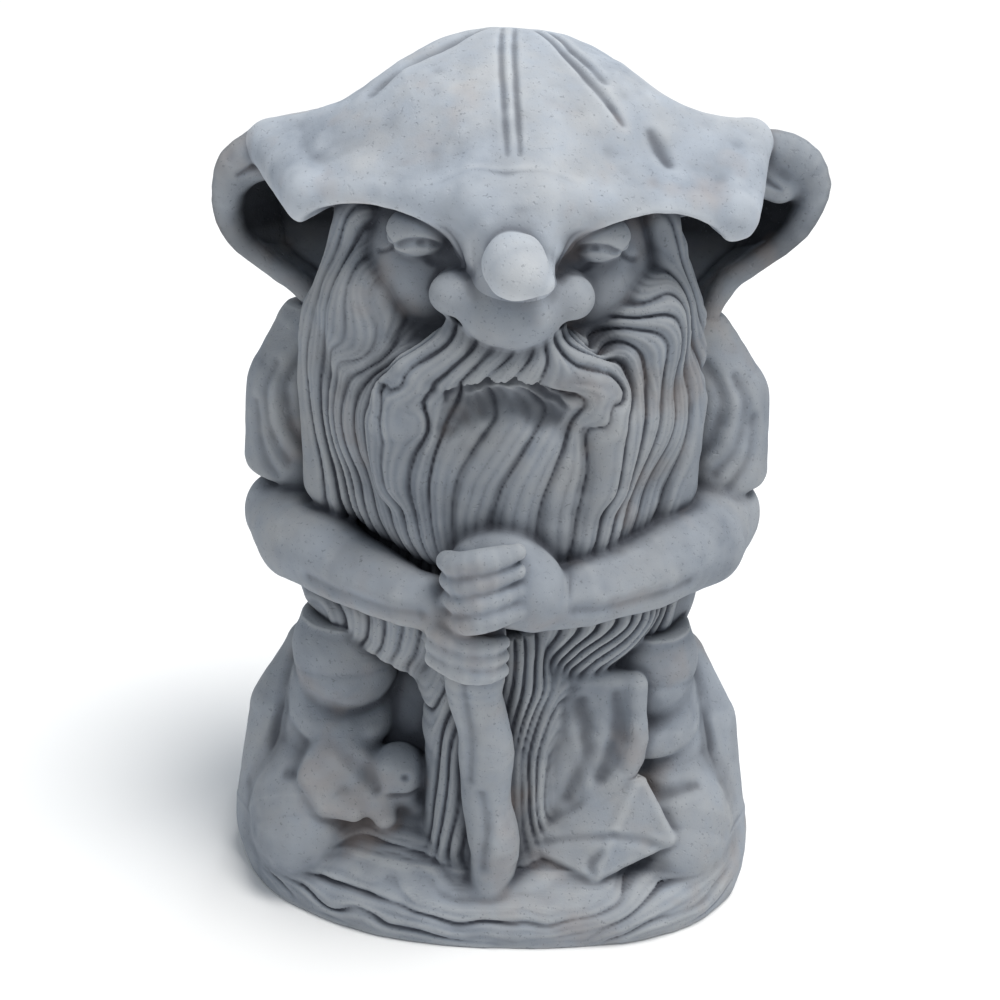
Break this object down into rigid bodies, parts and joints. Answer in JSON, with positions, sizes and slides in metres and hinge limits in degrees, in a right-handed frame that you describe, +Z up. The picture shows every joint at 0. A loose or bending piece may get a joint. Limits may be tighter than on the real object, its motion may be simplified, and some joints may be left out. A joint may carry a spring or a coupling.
{
  "type": "garden gnome",
  "caption": "Cast-stone garden gnome with a drooping hat and long beard, leaning with crossed arms on a staff, on a rounded ground base.",
  "frame": {"origin": "centre of the outline of the base, at its flat underside", "axes": "+Z up, the figure faces -Y, its own right side is at -X and its left side at +X"},
  "size_m": [0.41, 0.331, 0.6],
  "materials": {
    "hat_stone": "matte",
    "skin_stone": "matte",
    "hair_stone": "matte",
    "cloth_stone": "matte",
    "ground_stone": "matte"
  },
  "bodies": {
    "root": {"back_hair": "hair_stone", "beard": "hair_stone", "beard_tail": "hair_stone", "boot_cuff_left": "cloth_stone", "boot_cuff_right": "cloth_stone", "boot_left": "cloth_stone", "boot_right": "cloth_stone", "cloth_bundle": "cloth_stone", "coat_panel": "cloth_stone", "ear_left": "skin_stone", "ear_right": "skin_stone", "eyes": "skin_stone", "forearm_left": "skin_stone", "forearm_right": "skin_stone", "ground_base": "ground_stone", "hand_left": "skin_stone", "hand_right": "skin_stone", "hat": "hat_stone", "hat_knob": "hat_stone", "hat_peak": "hat_stone", "head": "skin_stone", "moustache": "hair_stone", "nose": "skin_stone", "rock_support": "ground_stone", "sleeve_left": "cloth_stone", "sleeve_right": "cloth_stone", "staff": "ground_stone", "toad": "ground_stone", "trouser_left": "cloth_stone", "trouser_right": "cloth_stone", "tunic": "cloth_stone"}
  },
  "joints": []
}
